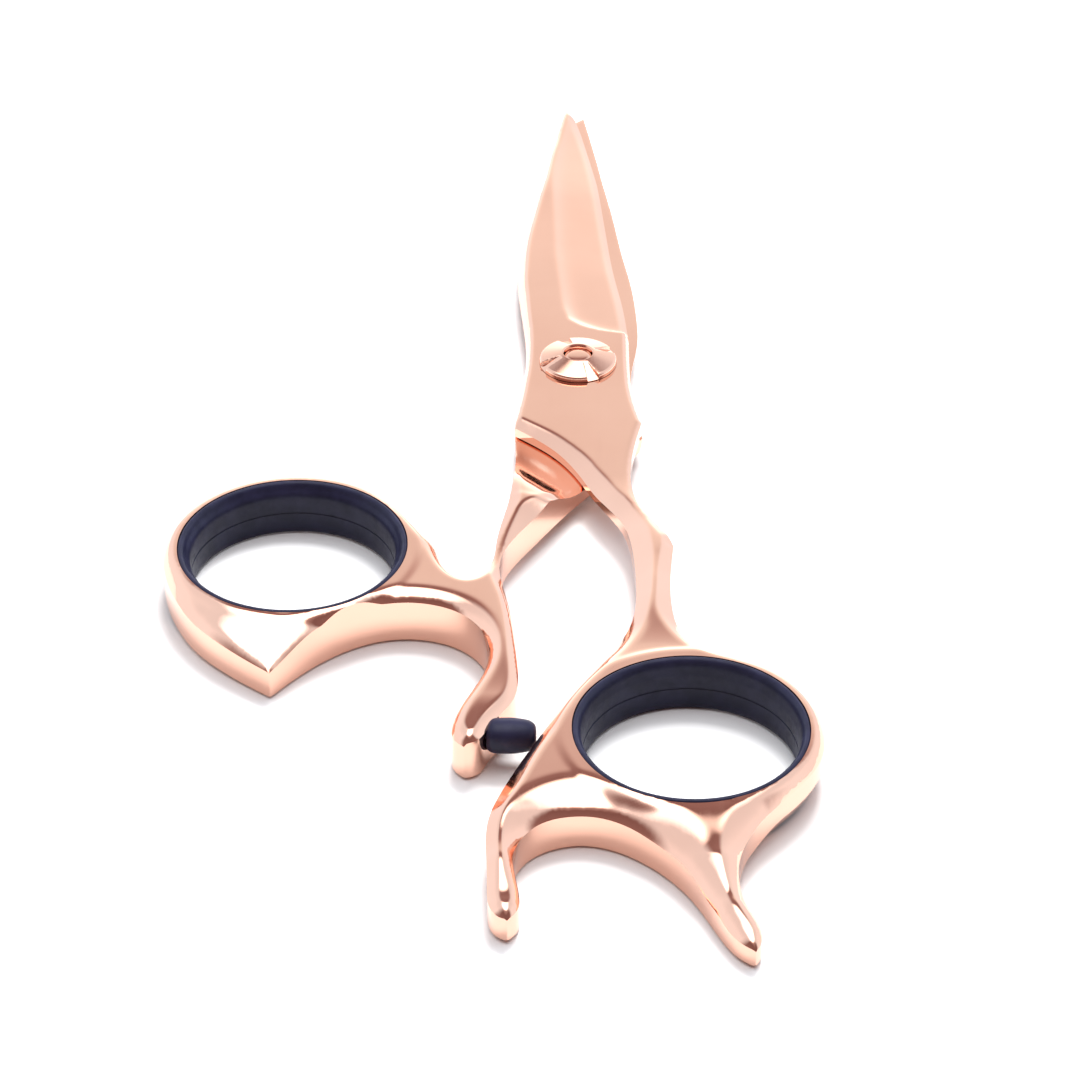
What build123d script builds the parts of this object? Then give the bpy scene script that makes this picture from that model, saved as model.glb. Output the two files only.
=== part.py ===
"""Hair cutting shears: two crossing halves on a keyed pivot bolt, with a tension dial.

Millimetres, +Z up, +Y towards the blade tips. The origin is on the pivot axis, in the flat
underside of the bolt head, which is the plane the shears lie on. The upper half carries the
finger ring and the lower half the thumb ring. The shears are modelled closed.
"""
from build123d import *
import os

# ---- heights of the closed shears -------------------------------------------------------
HANDLE_TOP = 6.4          # highest metal of both handles
MATE = 3.2                # plane between the blades
RIDE_GAP = 0.1            # total gap between the two ride faces
BLADE_THICK = 1.95
UPPER_RIDE = MATE + RIDE_GAP / 2
LOWER_RIDE = MATE - RIDE_GAP / 2
UPPER_TOP = UPPER_RIDE + BLADE_THICK
LOWER_BASE = LOWER_RIDE - BLADE_THICK

# ---- pivot ------------------------------------------------------------------------------
HEAD_R = 4.2
HEAD_T = 1.1
KEY_R = 2.6
KEY_FLAT = 4.2            # across the flats of the keyed neck
SHAFT_R = 2.0
THREAD_R = 1.6
BOLT_TOP = 6.3
BUSH_R = 3.0
BUSH_BORE_R = 2.04
DIAL_R = 4.6
DIAL_BASE = 5.24
DIAL_WALL_TOP = 5.85
DIAL_TOP = 6.62
RECESS_R = 4.0
RECESS_FLOOR = 4.25
WASHER_R = 4.6
WASHER_T = 0.3
FIT = 0.02                # gap of a close fit between two pieces
PLATE_T = 0.45
BALL_R = 0.34
BALL_PITCH_R = 3.0
BALL_COUNT = 4
BALL_ANGLE = 45
SPRING_R = 3.4
SPRING_Z = 4.98           # underside of the spring washer's rim, clear of the balls
GROOVE_COUNT = 4
GROOVE_ANGLE = 23

# ---- rings ------------------------------------------------------------------------------
THUMB_C = (-31.8, -39.3)
FINGER_C = (11.2, -72.2)
THUMB_LIP_R = 12.7
FINGER_LIP_R = 12.4
FINGER_HOLE_R = 11.25     # clear bore of each rubber insert
SEAT_WALL = 0.75          # rubber between the bore and the metal seat
LIP_FLOOR = 5.35
LIP_TOP = 6.45
RIM = 1.5                 # metal outside the lip

# ---- bumper between the handles ---------------------------------------------------------
BUMPER_R = 1.95
BUMPER_Y = -70.2
BUMPER_Z = 3.7
BUMPER_X0 = -10.15
BUMPER_X1 = -4.85
STUD_R = 0.75
STUD_REACH = 3.2          # how far the stud stands into the bumper
BARB_R = 1.05
BARB_T = 0.6

# ---- outlines in plan: the upper half ---------------------------------------------------
TIP = (-1.2, 63.0)
SPINE = [(-2.9, 53.5), (-4.55, 44), (-6.4, 33), (-7.25, 24), (-7.1, 18), (-6.4, 9.4), (-6.15, 2),
         (-6.7, -5), (-7.4, -13.2)]
# x, y of the upper edge of the spine's bevel, and the bevel's width in plan
BEVEL = [(-1.0, 64, 0.3), (-2.35, 53.5, 0.6), (-3.65, 44, 0.95), (-5.3, 33, 1.15),
         (-6.05, 24, 1.2), (-6.2, 18, 0.95), (-5.75, 9.4, 0.7), (-5.65, 2, 0.55),
         (-6.15, -5, 0.55), (-7.2, -13, 0.15)]
EDGE = [(0.1, 61.4), (2.0, 51.3), (3.1, 40.7), (3.85, 30.4), (4.6, 21.8), (5.5, 14.7), (6.1, 6.9)]
RICASSO = [(6.1, 6.9), (6.1, 0), (6.4, -6.3), (7.4, -12.2)]
UPPER_INNER = [(-7.4, -13.2), (-3.2, -17.3), (-0.2, -22.2), (2.0, -27.2), (4.6, -32.4),
               (5.7, -38), (6.0, -46), (5.0, -53.5), (1.9, -59.2), (-1.8, -66.2),
               (-5.2, -73.4), (-8.0, -80), (-9.9, -87), (-9.8, -93.5), (-8.6, -98.8)]
HORN_TIP = [(-8.6, -98.8), (-7.7, -99.3), (-7.0, -98.4)]
FINGER_REST = [(-7.0, -98.4), (-7.2, -92), (-5.6, -86.6), (-0.4, -84.2), (6.0, -87),
               (10.8, -93), (13.6, -99.2), (16.2, -102.8)]
TANG_TIP = [(16.2, -102.8), (16.9, -103.1), (17.2, -102.2)]
TANG_OUTER = [(17.2, -102.2), (16.2, -97.4), (15.4, -92.2), (16.8, -87.4), (20.6, -82.2)]
UPPER_OUTER = [(7.4, -12.2), (6.2, -18.6), (5.8, -24.6), (7.0, -31), (9.6, -36.2)]
NECK = [(10.3, -38.0), (9.8, -44), (9.8, -50), (11.4, -55.8), (14.9, -58.9)]

# ---- outlines in plan: the lower half ---------------------------------------------------
LOWER_TIP = (1.2, 62.4)
LOWER_SPINE = [(2.7, 51.7), (3.6, 44.6), (4.55, 37.6), (5.7, 27.5), (6.6, 20.9), (7.2, 12.5),
               (7.2, 7.5), (6.3, 0), (7.4, -13.2)]
LOWER_EDGE = [(0.2, 61.4), (-1.9, 48.5), (-4.3, 20), (-6.1, 6.9)]
LOWER_OUTER = [(-7.4, -12.2), (-7.3, -20), (-8.1, -30), (-9.3, -37.3), (-10.4, -42.9)]
NOTCH = [(-10.4, -42.9), (-12.4, -44.9), (-14.9, -42.6), (-16.2, -38.2), (-18.9, -33.4)]
RING_CORNER = [(-44.9, -45.4), (-41.6, -51.6), (-33.4, -59.1)]
THUMB_REST = [(-33.4, -59.1), (-28.0, -52.8), (-20, -48.7), (-13.2, -50.6), (-9.9, -57),
              (-11.2, -63), (-13.3, -68), (-13.4, -72)]
HOOK_TIP = [(-13.4, -72), (-12.5, -73.1), (-11.3, -72.8)]
ARM = [(-11.3, -72.8), (-9.8, -70.4), (-7.6, -66.8), (-7.0, -59), (-8.1, -48.4),
       (-8.9, -41.4), (-5.3, -32.9), (-2.1, -27.6), (4.2, -18.2), (7.4, -13.2)]


def mirrored(points):
    """The same points on the other side of the blade's centre line."""
    return [(-x, y) for x, y in points]


def grind_wedge(side, lift):
    """Tool that thins a blade from its ridge down to its cutting edge.

    side is +1 where the cutting edge is at +X; lift is +1 for the top face of the upper
    blade and -1 for the underside of the lower blade.
    """
    outer = MATE + lift * (BLADE_THICK + RIDE_GAP / 2)
    root = [(-2.9, 0), (6.6, -1.55), (9.0, 0.6), (-2.9, 0.6)]
    point = [(-1.1, -0.5), (1.6, -1.55), (4.0, 0.6), (-1.1, 0.6)]
    with BuildPart() as wedge:
        for y, profile in ((8.0, root), (64.0, point)):
            with BuildSketch(Plane.XZ.offset(-y)):
                with BuildLine():
                    Polyline(*[(side * x, outer + lift * z) for x, z in profile], close=True)
                make_face()
        loft(ruled=True)
    return wedge.part


def spine_bevel():
    """Tool that slopes the spine of the upper blade from its flat top down to the ride face."""
    with BuildPart() as bevel:
        for x, y, width in BEVEL:
            with BuildSketch(Plane.XZ.offset(-y)):
                with BuildLine():
                    Polyline((x, UPPER_TOP + 0.05), (x - width, UPPER_RIDE - 0.05),
                             (x - 6, UPPER_RIDE - 0.05), (x - 6, UPPER_TOP + 0.05), close=True)
                make_face()
        loft(ruled=True)
    return bevel.part


def ring_seat(centre, lip_r):
    """Tool for the stepped hole that a rubber insert snaps into."""
    body_r = FINGER_HOLE_R + SEAT_WALL + FIT
    with BuildPart() as seat:
        with BuildSketch(Plane.XY):
            with Locations(centre):
                Circle(body_r)
        extrude(amount=HANDLE_TOP + 1)
        with BuildSketch(Plane.XY.offset(LIP_FLOOR)):
            with Locations(centre):
                Circle(lip_r + FIT)
        extrude(amount=HANDLE_TOP)
        with BuildSketch(Plane.XY.offset(-0.5)):
            with Locations(centre):
                Circle(body_r + 0.5)
        extrude(amount=1.4)
    return seat.part


def side_profile(points):
    """Prism as wide as the shears whose section along Y sets a half's top and underside."""
    with BuildPart() as slab:
        with BuildSketch(Plane.YZ.offset(-60)):
            with BuildLine():
                Polyline(*points, close=True)
            make_face()
        extrude(amount=120)
    return slab.part


upper_grind = grind_wedge(1, 1)
lower_grind = grind_wedge(-1, -1)
finger_seat = ring_seat(FINGER_C, FINGER_LIP_R)
thumb_seat = ring_seat(THUMB_C, THUMB_LIP_R)
upper_side = side_profile([
    (70, UPPER_RIDE), (70, 4.3), (40, 5.0), (20, UPPER_TOP), (-24, UPPER_TOP),
    (-50, 6.3), (-60, HANDLE_TOP), (-86, HANDLE_TOP), (-110, 3.0), (-110, 0),
    (-54, 0), (-44, 1.2), (-34, 2.4), (-28, UPPER_RIDE)])
lower_side = side_profile([
    (70, LOWER_RIDE), (70, 2.1), (40, 1.4), (20, LOWER_BASE), (-40, LOWER_BASE),
    (-50, 0), (-110, 0), (-110, 3.0), (-60, 6.2), (-50, HANDLE_TOP), (-31.5, 6.2),
    (-29.2, 5.5), (-27.2, 3.9), (-26.0, LOWER_RIDE)])

# ---- upper half: blade, shank, finger ring, horn and tang in one forging ------------------
with BuildPart() as upper_shear:
    with BuildSketch(Plane.XY):
        with BuildLine():
            Spline(TIP, *SPINE)
            Spline(*UPPER_INNER)
            ThreePointArc(*HORN_TIP)
            Spline(*FINGER_REST)
            ThreePointArc(*TANG_TIP)
            Spline(*TANG_OUTER)
            ThreePointArc(TANG_OUTER[-1], (25.05, -71.0), NECK[-1])
            Spline(*NECK)
            Line(NECK[0], UPPER_OUTER[-1])
            Spline(*UPPER_OUTER)
            Spline(*RICASSO)
            Spline(*EDGE)
            Line(EDGE[0], TIP)
        make_face()
    extrude(amount=HANDLE_TOP)
    add(upper_side, mode=Mode.INTERSECT)
    add(upper_grind, mode=Mode.SUBTRACT)
    add(spine_bevel(), mode=Mode.SUBTRACT)
    add(finger_seat, mode=Mode.SUBTRACT)
    # bore for the bush, recess for the click stack, and half of the glide washer's pocket
    with BuildSketch(Plane.XY.offset(UPPER_RIDE)):
        Circle(BUSH_R + FIT)
    extrude(amount=BLADE_THICK, mode=Mode.SUBTRACT)
    with BuildSketch(Plane.XY.offset(RECESS_FLOOR)):
        Circle(RECESS_R + FIT)
    extrude(amount=BLADE_THICK, mode=Mode.SUBTRACT)
    with BuildSketch(Plane.XY.offset(UPPER_RIDE)):
        Circle(WASHER_R + FIT)
    extrude(amount=WASHER_T / 2, mode=Mode.SUBTRACT)
upper_shear.part.label = "upper_shear"

# ---- lower half: blade, shank, thumb ring, arm and hook in one forging --------------------
with BuildPart() as lower_shear:
    with BuildSketch(Plane.XY):
        with BuildLine():
            Spline(LOWER_TIP, *LOWER_SPINE)
            Spline(*ARM)
            ThreePointArc(*HOOK_TIP)
            Spline(*THUMB_REST)
            Spline(*RING_CORNER)
            ThreePointArc(RING_CORNER[0], (-38.95, -26.9), NOTCH[-1])
            Spline(*NOTCH)
            Spline(*LOWER_OUTER)
            Spline(*mirrored(RICASSO))
            Spline(*LOWER_EDGE)
            Line(LOWER_EDGE[0], LOWER_TIP)
        make_face()
    extrude(amount=HANDLE_TOP)
    add(lower_side, mode=Mode.INTERSECT)
    add(lower_grind, mode=Mode.SUBTRACT)
    add(thumb_seat, mode=Mode.SUBTRACT)
    # keyed hole for the bolt's neck and the other half of the glide washer's pocket
    with BuildSketch(Plane.XY):
        Circle(KEY_R + FIT)
        Rectangle(KEY_FLAT + 2 * FIT, 4 * KEY_R, mode=Mode.INTERSECT)
    extrude(amount=HANDLE_TOP, mode=Mode.SUBTRACT)
    with BuildSketch(Plane.XY.offset(LOWER_RIDE)):
        Circle(WASHER_R + FIT)
    extrude(amount=-WASHER_T / 2, mode=Mode.SUBTRACT)
    # spot face for the bumper and the tapped hole for its stud
    with BuildSketch(Plane.YZ.offset(BUMPER_X0)):
        with Locations((BUMPER_Y, BUMPER_Z)):
            Circle(BUMPER_R + FIT)
    extrude(amount=8, mode=Mode.SUBTRACT)
    with BuildSketch(Plane.YZ.offset(BUMPER_X0 - 2.2)):
        with Locations((BUMPER_Y, BUMPER_Z)):
            Circle(STUD_R + FIT)
    extrude(amount=3, mode=Mode.SUBTRACT)
lower_shear.part.label = "lower_shear"

# ---- pivot stack: bolt, bush, glide washer, click plate, balls, spring washer, dial -------
with BuildPart() as pivot_bolt:
    with BuildSketch(Plane.XY):
        Circle(HEAD_R)
    extrude(amount=HEAD_T)
    chamfer(pivot_bolt.edges().sort_by(Axis.Z)[0], 0.35)
    with BuildSketch(Plane.XY.offset(HEAD_T)):
        Circle(KEY_R)
        Rectangle(KEY_FLAT, 4 * KEY_R, mode=Mode.INTERSECT)
    extrude(amount=LOWER_RIDE - WASHER_T / 2 - HEAD_T)
    with BuildSketch(Plane.XY.offset(HEAD_T)):
        Circle(SHAFT_R)
    extrude(amount=DIAL_BASE - 0.2 - HEAD_T)
    with BuildSketch(Plane.XY.offset(HEAD_T)):
        Circle(THREAD_R)
    extrude(amount=BOLT_TOP - HEAD_T)
    fillet(pivot_bolt.edges().sort_by(Axis.Z)[-1], 0.2)
pivot_bolt.part.label = "pivot_bolt"

with BuildPart() as pivot_bush:
    with BuildSketch(Plane.XY.offset(UPPER_RIDE + WASHER_T / 2 + FIT)):
        Circle(BUSH_R)
        Circle(BUSH_BORE_R, mode=Mode.SUBTRACT)
    extrude(amount=RECESS_FLOOR - UPPER_RIDE - WASHER_T / 2 - 2 * FIT)
pivot_bush.part.label = "pivot_bush"

with BuildPart() as glide_washer:
    with BuildSketch(Plane.XY.offset(MATE - WASHER_T / 2)):
        Circle(WASHER_R - 0.05)
        Circle(KEY_R + 0.1, mode=Mode.SUBTRACT)
    extrude(amount=WASHER_T)
glide_washer.part.label = "glide_washer"

with BuildPart() as click_plate:
    with BuildSketch(Plane.XY.offset(RECESS_FLOOR + FIT)):
        Circle(RECESS_R - FIT)
        Circle(SHAFT_R + 0.05, mode=Mode.SUBTRACT)
        with PolarLocations(BALL_PITCH_R, BALL_COUNT, start_angle=BALL_ANGLE):
            Circle(BALL_R + 0.03, mode=Mode.SUBTRACT)
    extrude(amount=PLATE_T)
click_plate.part.label = "click_plate"

with BuildPart() as detent_balls:
    with Locations((0, 0, RECESS_FLOOR + FIT + BALL_R)):
        with PolarLocations(BALL_PITCH_R, BALL_COUNT, start_angle=BALL_ANGLE):
            Sphere(BALL_R)
detent_balls.part.label = "detent_balls"

# a shallow cone, like a Belleville washer, that pushes the dial away from the click plate
with BuildPart() as spring_washer:
    with BuildSketch(Plane.XZ):
        with BuildLine():
            Polyline((SHAFT_R + 0.1, SPRING_Z + 0.2), (SHAFT_R + 0.1, SPRING_Z + 0.35),
                     (SPRING_R, SPRING_Z + 0.15), (SPRING_R, SPRING_Z), close=True)
        make_face()
    revolve(axis=Axis.Z)
spring_washer.part.label = "spring_washer"

# tool for one finger groove of the dial, wider and deeper at the rim
with BuildPart() as groove:
    with BuildSketch(Plane.XZ):
        Polygon((2.2, DIAL_TOP), (DIAL_R + 0.4, DIAL_BASE), (DIAL_R + 0.4, DIAL_TOP), align=None)
    extrude(amount=1, both=True)
    with BuildSketch(Plane.XY):
        Polygon((2.2, -0.25), (DIAL_R + 0.4, -0.85), (DIAL_R + 0.4, 0.85), (2.2, 0.25), align=None)
    extrude(amount=DIAL_TOP, mode=Mode.INTERSECT)

with BuildPart() as tension_dial:
    with BuildSketch(Plane.XZ):
        with BuildLine():
            Polyline((THREAD_R + 0.05, DIAL_BASE), (DIAL_R, DIAL_BASE), (DIAL_R - 0.25, DIAL_WALL_TOP))
            ThreePointArc((DIAL_R - 0.25, DIAL_WALL_TOP), (3.1, 6.22), (THREAD_R + 0.05, DIAL_TOP))
            Line((THREAD_R + 0.05, DIAL_TOP), (THREAD_R + 0.05, DIAL_BASE))
        make_face()
    revolve(axis=Axis.Z)
    with PolarLocations(0, GROOVE_COUNT, start_angle=GROOVE_ANGLE):
        add(groove.part, mode=Mode.SUBTRACT)
    # relief in the underside that clears the spring washer
    with BuildSketch(Plane.XY.offset(DIAL_BASE)):
        Circle(SPRING_R + 0.1)
        Circle(THREAD_R + 0.05, mode=Mode.SUBTRACT)
    extrude(amount=0.14, mode=Mode.SUBTRACT)
tension_dial.part.label = "tension_dial"


def ring_insert(centre, lip_r, label):
    """Soft rubber sleeve with a rolled lip on top and a small snap bead underneath."""
    bore = centre[0] + FINGER_HOLE_R
    body = bore + SEAT_WALL
    lip = centre[0] + lip_r
    seat = LIP_FLOOR + FIT
    with BuildPart() as insert:
        with BuildSketch(Plane.XZ.offset(-centre[1])):
            with BuildLine():
                Polyline((lip, LIP_TOP - 0.35), (lip, seat), (body, seat), (body, 0.86), (body + 0.45, 0.8),
                         (body + 0.35, 0.3), (body - 0.2, 0.15), (bore + 0.3, 0.15), (bore, 0.5),
                         (bore, LIP_TOP - 1.8))
                Spline((bore, LIP_TOP - 1.8), (lip - 0.9, LIP_TOP - 0.5), (lip - 0.4, LIP_TOP),
                       (lip, LIP_TOP - 0.35), tangents=((0, 1), (0, -1)))
            make_face()
        revolve(axis=Axis((centre[0], centre[1], 0), (0, 0, 1)))
    insert.part.label = label
    return insert


thumb_ring_insert = ring_insert(THUMB_C, THUMB_LIP_R, "thumb_ring_insert")
finger_ring_insert = ring_insert(FINGER_C, FINGER_LIP_R, "finger_ring_insert")

# ---- rubber bumper on its stud, between the handles ---------------------------------------
with BuildPart() as bumper:
    with BuildSketch(Plane.YZ.offset(BUMPER_X0 + FIT)):
        with Locations((BUMPER_Y, BUMPER_Z)):
            Circle(BUMPER_R)
    extrude(amount=BUMPER_X1 - BUMPER_X0 - FIT)
    fillet(bumper.edges().sort_by(Axis.X)[-1], 0.9)
    with BuildSketch(Plane.YZ.offset(BUMPER_X0)):
        with Locations((BUMPER_Y, BUMPER_Z)):
            Circle(STUD_R + FIT)
    extrude(amount=STUD_REACH + FIT, mode=Mode.SUBTRACT)
    with BuildSketch(Plane.YZ.offset(BUMPER_X0 + STUD_REACH - BARB_T - FIT)):
        with Locations((BUMPER_Y, BUMPER_Z)):
            Circle(BARB_R + FIT)
    extrude(amount=BARB_T + 2 * FIT, mode=Mode.SUBTRACT)
bumper.part.label = "bumper"

with BuildPart() as bumper_stud:
    with BuildSketch(Plane.YZ.offset(BUMPER_X0 - 2.1)):
        with Locations((BUMPER_Y, BUMPER_Z)):
            Circle(STUD_R)
    extrude(amount=2.1 + STUD_REACH)
    with BuildSketch(Plane.YZ.offset(BUMPER_X0 + STUD_REACH - BARB_T)):
        with Locations((BUMPER_Y, BUMPER_Z)):
            Circle(BARB_R)
    extrude(amount=BARB_T)
bumper_stud.part.label = "bumper_stud"

pieces = (upper_shear, lower_shear, pivot_bolt, pivot_bush, glide_washer, click_plate, detent_balls,
          spring_washer, tension_dial, thumb_ring_insert, finger_ring_insert, bumper, bumper_stud)
os.makedirs("parts", exist_ok=True)
for piece in pieces:
    export_step(piece.part, f"parts/{piece.part.label}.step")
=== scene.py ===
import math

import bpy
import numpy as np
from mathutils import Matrix, Vector
from mathutils.geometry import delaunay_2d_cdt


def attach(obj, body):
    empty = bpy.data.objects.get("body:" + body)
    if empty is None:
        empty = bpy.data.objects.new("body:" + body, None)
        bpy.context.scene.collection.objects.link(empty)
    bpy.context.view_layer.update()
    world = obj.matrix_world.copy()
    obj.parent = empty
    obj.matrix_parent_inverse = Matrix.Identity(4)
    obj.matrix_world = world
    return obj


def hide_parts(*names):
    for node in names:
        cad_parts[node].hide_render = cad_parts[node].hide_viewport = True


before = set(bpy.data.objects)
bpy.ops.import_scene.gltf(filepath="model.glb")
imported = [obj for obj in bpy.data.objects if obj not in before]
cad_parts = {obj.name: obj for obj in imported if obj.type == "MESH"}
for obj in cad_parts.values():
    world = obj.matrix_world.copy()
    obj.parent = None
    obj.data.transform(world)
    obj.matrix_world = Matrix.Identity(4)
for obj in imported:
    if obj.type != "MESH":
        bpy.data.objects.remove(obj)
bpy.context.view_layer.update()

# Outlines and heights are in millimetres in the part's own frame, and meshes are made at MM times that.
MM = 0.001
FIT = 0.02                # gap between a piece and its seat
THUMB_C = (-31.8, -39.3)
FINGER_C = (11.2, -72.2)
THUMB_LIP_R = 12.7
FINGER_LIP_R = 12.4
BORE_R = 11.25
BODY_R = 12.0             # outside of an insert's sleeve
LIP_FLOOR = 5.35          # bottom of an insert's lip
LIP_TOP = 6.45
SEAT_TOP = 6.4            # top of the metal round an insert
BEAD_TOP = 0.9            # top of the bead that holds an insert from below
UPPER_RIDE = 3.25         # underside of the upper blade
LOWER_RIDE = 3.15         # inner face of the lower blade
CLICK_R = 4.0
BUSH_R = 3.0
WASHER_R = 4.6
NECK_R = 2.6              # bolt's neck in the lower half
GRID = 0.26               # spacing of the points inside a forged half
BORDER = (0.1, 0.28)      # distance of the first rows of points from the outline
BORDER_CLEAR = 0.42       # distance that the inner points keep from the outline
OUTLINE_STEP = 0.3
RIDGE_SOFT = 0.25         # rounding where two chamfers meet
CREASE = 0.15             # half the rounding where a facet leaves the top
LAND = 1.4                # width over which the chamfers fade out at a seat
EDGE_STEP = 0.06          # how far inside the outline the edge's own slope is read


# ---- small geometry helpers ---------------------------------------------------------------
def smooth(t):
    """Ease from 0 to 1 as t goes from 0 to 1, flat beyond."""
    t = np.clip(t, 0, 1)
    return t * t * (3 - 2 * t)


def ramp(value, table):
    """Smooth interpolation of value through (x, y) pairs whose x rises."""
    xs = np.array([p[0] for p in table], float)
    ys = np.array([p[1] for p in table], float)
    k = np.clip(np.searchsorted(xs, value) - 1, 0, len(xs) - 2)
    return ys[k] + (ys[k + 1] - ys[k]) * smooth((value - xs[k]) / (xs[k + 1] - xs[k]))


def sample(points, step):
    """Natural cubic spline through the x, y columns; the other columns ease from row to row."""
    p = np.asarray(points, float)
    t = np.concatenate([[0], np.cumsum(np.linalg.norm(np.diff(p[:, :2], axis=0), axis=1))])
    n, h = len(t), np.diff(t)
    a, r = np.eye(n), np.zeros((n, 2))
    for i in range(1, n - 1):
        a[i, i - 1:i + 2] = h[i - 1], 2 * (h[i - 1] + h[i]), h[i]
        r[i] = 6 * ((p[i + 1, :2] - p[i, :2]) / h[i] - (p[i, :2] - p[i - 1, :2]) / h[i - 1])
    m = np.linalg.solve(a, r)
    u = np.linspace(0, t[-1], max(2, int(round(t[-1] / step)) + 1))
    k = np.clip(np.searchsorted(t, u, side="right") - 1, 0, n - 2)
    hk, left, right = h[k][:, None], (t[k + 1] - u)[:, None], (u - t[k])[:, None]
    xy = (m[k] * left**3 + m[k + 1] * right**3) / (6 * hk)
    xy += (p[k, :2] / hk - m[k] * hk / 6) * left + (p[k + 1, :2] / hk - m[k + 1] * hk / 6) * right
    rest = p[k, 2:] + (p[k + 1, 2:] - p[k, 2:]) * smooth(right / hk)
    return np.hstack([xy, rest])


def arc(centre, radius, start, end, count):
    """Points on a circle from start to end degrees."""
    turn = np.radians(np.linspace(start, end, count))
    return [(centre[0] + radius * math.cos(a), centre[1] + radius * math.sin(a)) for a in turn]


def with_shape(points, *shape):
    """The same points, each followed by the same shape columns."""
    return [tuple(p) + shape for p in points]


def nearest(points, line, reach=1e9):
    """Distance from each point to a polyline, and the polyline's shape columns there.

    Points farther than reach from the line's bounding box keep a large distance.
    """
    best = np.full(len(points), 1e9)
    shape = np.zeros((len(points), line.shape[1] - 2))
    low, high = line[:, :2].min(0) - reach, line[:, :2].max(0) + reach
    near = np.nonzero(((points > low) & (points < high)).all(1))[0]
    lx, ly = line[:, 0].astype(np.float32), line[:, 1].astype(np.float32)
    ab = line[1:, :2] - line[:-1, :2]
    length2 = (ab**2).sum(1) + 1e-12
    for lo in range(0, len(near), 8000):
        rows = near[lo:lo + 8000]
        q = points[rows]
        qx, qy = q[:, :1].astype(np.float32), q[:, 1:].astype(np.float32)
        closest = ((qx - lx) ** 2 + (qy - ly) ** 2).argmin(1)
        for k in (np.clip(closest - 1, 0, len(ab) - 1), np.clip(closest, 0, len(ab) - 1)):
            along = q - line[k, :2]
            t = np.clip((along * ab[k]).sum(1) / length2[k], 0, 1)[:, None]
            d = np.sqrt(((along - t * ab[k]) ** 2).sum(1))
            better = d < best[rows]
            best[rows] = np.where(better, d, best[rows])
            found = line[k, 2:] * (1 - t) + line[k + 1, 2:] * t
            shape[rows] = np.where(better[:, None], found, shape[rows])
    return best, shape


def soft_max(values, width):
    """Largest of several arrays, rounded over width where two are nearly equal."""
    out = values[0]
    for v in values[1:]:
        both = np.minimum(1, np.minimum(out, v) / (2 * width))
        out = (out + v + np.sqrt((out - v) ** 2 + (width * np.clip(both, 0, 1)) ** 2)) / 2
    return out


def inside(points, loop):
    """Which points lie inside a closed loop, by counting crossings."""
    x, y = points[:, 0], points[:, 1]
    hit = np.zeros(len(points), bool)
    for (x0, y0), (x1, y1) in zip(loop, np.roll(loop, -1, 0)):
        if y0 != y1:
            crosses = (y0 > y) != (y1 > y)
            hit ^= crosses & (x < (x1 - x0) * (y - y0) / (y1 - y0) + x0)
    return hit


def blurred(normals, triangles, passes):
    """Unit normals averaged with their neighbours along the triangles' edges."""
    for _ in range(passes):
        total = normals.copy()
        for a, b in ((0, 1), (1, 2), (2, 0)):
            np.add.at(total, triangles[:, a], normals[triangles[:, b]])
            np.add.at(total, triangles[:, b], normals[triangles[:, a]])
        normals = total / np.linalg.norm(total, axis=1, keepdims=True)
    return normals


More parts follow.
